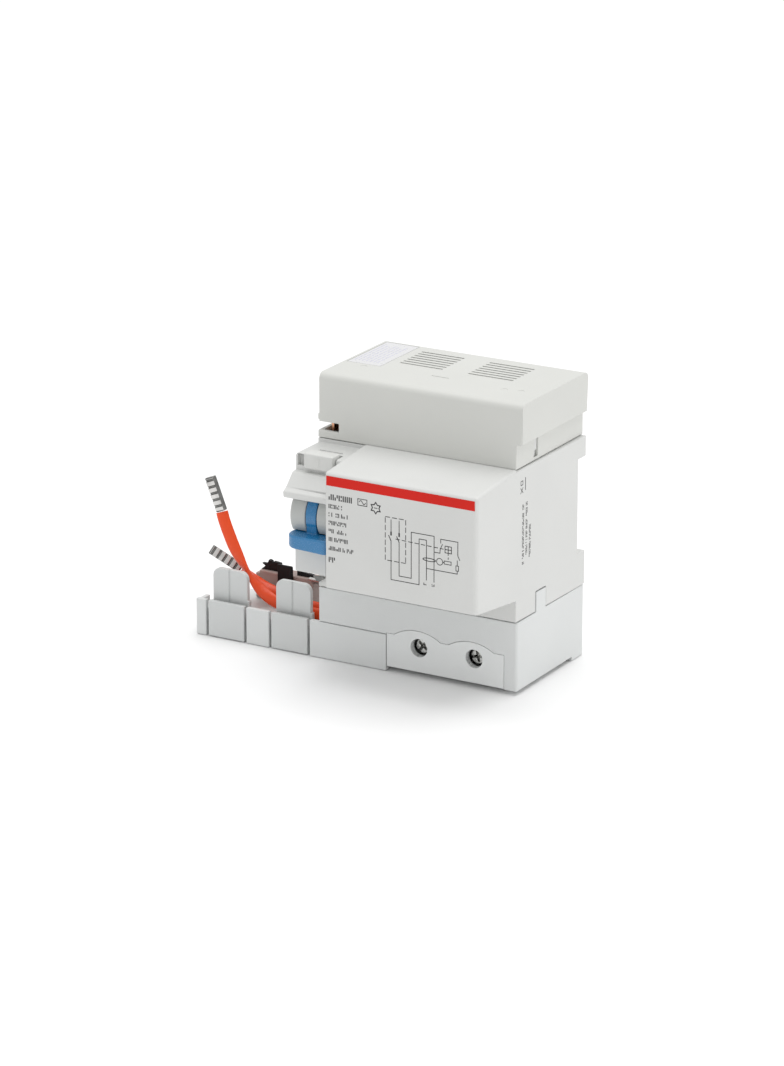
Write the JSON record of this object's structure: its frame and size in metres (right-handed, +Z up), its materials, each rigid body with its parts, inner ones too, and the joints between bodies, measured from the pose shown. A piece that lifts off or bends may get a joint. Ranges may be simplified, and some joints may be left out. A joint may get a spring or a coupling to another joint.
{
  "type": "residual current block",
  "caption": "Rail-mounted residual current block that clips beside a circuit breaker, with sprung toggle, test button, screw terminals, connection tail and lugged leads",
  "frame": {"origin": "centre of the bounding box's underside, measured without the free leads, where the tail and feet stand", "axes": "+X to the device's right as it is read, along its longest side; +Y from the front to the rail; +Z up"},
  "size_m": [0.134, 0.0772, 0.106],
  "materials": {
    "cover_plastic": "light grey moulded thermoplastic, satin",
    "housing_plastic": "light grey moulded thermoplastic, satin",
    "tail_plastic": "light grey moulded thermoplastic",
    "latch_plastic": "grey moulded thermoplastic",
    "cheek_plastic": "grey moulded thermoplastic",
    "label_print": "grey printed front plate",
    "stripe_red": "red printed stripe",
    "sticker_white": "white film sticker",
    "handle_blue": "blue moulded plastic",
    "shroud_mauve": "mauve brown insulating plastic",
    "clip_black": "black moulded plastic",
    "lead_orange": "orange lead insulation",
    "tinned_lug": "tinned and pressed",
    "zinc": "zinc plated",
    "steel": "bright steel",
    "copper": "bare copper",
    "winding": "enamelled copper winding",
    "ferrite": "dark magnetic core",
    "bobbin": "cream moulded plastic",
    "board": "green circuit board laminate",
    "component": "coated electronic part"
  },
  "bodies": {
    "housing": {"top_cover": "cover_plastic", "middle_housing": "housing_plastic", "bottom_housing": "housing_plastic", "connection_tail": "tail_plastic", "tail_back_cover": "tail_plastic", "lead_gland": "tail_plastic", "rear_base": "latch_plastic", "upper_chassis": "latch_plastic", "terminal_divider": "latch_plastic", "front_label": "label_print", "terminal_cover": "label_print", "rating_stripe": "stripe_red", "top_sticker": "sticker_white", "shroud_block": "shroud_mauve", "centre_clip": "clip_black", "comb_left": "clip_black", "comb_right": "clip_black", "lead_a": "lead_orange", "lead_b": "lead_orange", "lug_a": "tinned_lug", "lug_b": "tinned_lug", "spring_leaf": "steel", "toggle_axle": "steel", "relay_frame": "steel", "rear_rivet_low": "steel", "rear_rivet_high": "steel", "latch_spring": "steel", "terminal_bar_1": "copper", "terminal_bar_2": "copper", "conductor_1": "copper", "conductor_2": "copper", "coupling_blade_1": "copper", "coupling_blade_2": "copper", "test_contact": "copper", "relay_coil": "winding", "toroid_core": "ferrite", "transformer_core": "ferrite", "toroid_case": "bobbin", "toroid_lid": "bobbin", "circuit_board": "board", "supply_board": "board", "test_resistor": "component", "suppressor": "component", "supply_capacitor": "component"},
    "toggle": {"toggle_handle": "handle_blue", "toggle_cheek_left": "cheek_plastic", "toggle_cheek_right": "cheek_plastic"},
    "test_button": {"test_button": "housing_plastic"},
    "trip": {"trip_shaft": "steel", "trip_lever": "cheek_plastic", "trip_spring": "steel"},
    "relay_plunger": {"relay_plunger": "steel"},
    "screw_1": {"terminal_screw_1": "zinc"},
    "cage_1": {"terminal_cage_1": "zinc"},
    "screw_2": {"terminal_screw_2": "zinc"},
    "cage_2": {"terminal_cage_2": "zinc"},
    "rail_latch": {"rail_latch": "latch_plastic"},
    "pole_latch_left": {"pole_latch_left": "latch_plastic"},
    "pole_latch_right": {"pole_latch_right": "latch_plastic"}
  },
  "joints": [
    {"name": "toggle_hinge", "type": "hinge", "parent": "housing", "child": "toggle", "pos_m": [-0.00465, -0.0234, 0.0598], "axis": [-1, 0, 0], "range_deg": [0, 45]},
    {"name": "trip_turn", "type": "hinge", "parent": "housing", "child": "trip", "pos_m": [0.00925, -0.0119, 0.0655], "axis": [-1, 0, 0], "range_deg": [0, 23]},
    {"name": "test_press", "type": "slide", "parent": "housing", "child": "test_button", "axis": [0, 1, 0], "range_m": [0, 0.0016], "stiffness_N_per_m": 300, "springref_m": -0.001},
    {"name": "relay_stroke", "type": "slide", "parent": "housing", "child": "relay_plunger", "axis": [0, 0, 1], "range_m": [0, 0.0025], "stiffness_N_per_m": 60},
    {"name": "screw_1_turn", "type": "hinge", "parent": "housing", "child": "screw_1", "pos_m": [0.02625, -0.0054, 0.0108], "axis": [0, 1, 0], "range_deg": [0, 3610]},
    {"name": "cage_1_lift", "type": "slide", "parent": "housing", "child": "cage_1", "axis": [0, -1, 0], "range_m": [0, 0.007]},
    {"name": "screw_2_turn", "type": "hinge", "parent": "housing", "child": "screw_2", "pos_m": [0.04845, -0.0054, 0.0108], "axis": [0, 1, 0], "range_deg": [0, 3610]},
    {"name": "cage_2_lift", "type": "slide", "parent": "housing", "child": "cage_2", "axis": [0, -1, 0], "range_m": [0, 0.007]},
    {"name": "rail_latch_slide", "type": "slide", "parent": "housing", "child": "rail_latch", "axis": [0, 0, -1], "range_m": [0, 0.0035], "stiffness_N_per_m": 1400, "springref_m": -0.001},
    {"name": "pole_latch_left_flex", "type": "hinge", "parent": "housing", "child": "pole_latch_left", "pos_m": [-0.0538, -0.006, 0.0015], "axis": [1, 0, 0], "range_deg": [0, 4], "stiffness_Nm_per_rad": 0.6},
    {"name": "pole_latch_right_flex", "type": "hinge", "parent": "housing", "child": "pole_latch_right", "pos_m": [-0.0272, -0.006, 0.0015], "axis": [1, 0, 0], "range_deg": [0, 4], "stiffness_Nm_per_rad": 0.6}
  ],
  "couplings": [
    {"joint": "trip_turn", "follows": "toggle_hinge", "ratio": 0.5},
    {"joint": "screw_1_turn", "follows": "cage_1_lift", "rad_per_m": 8976},
    {"joint": "screw_2_turn", "follows": "cage_2_lift", "rad_per_m": 8976}
  ]
}
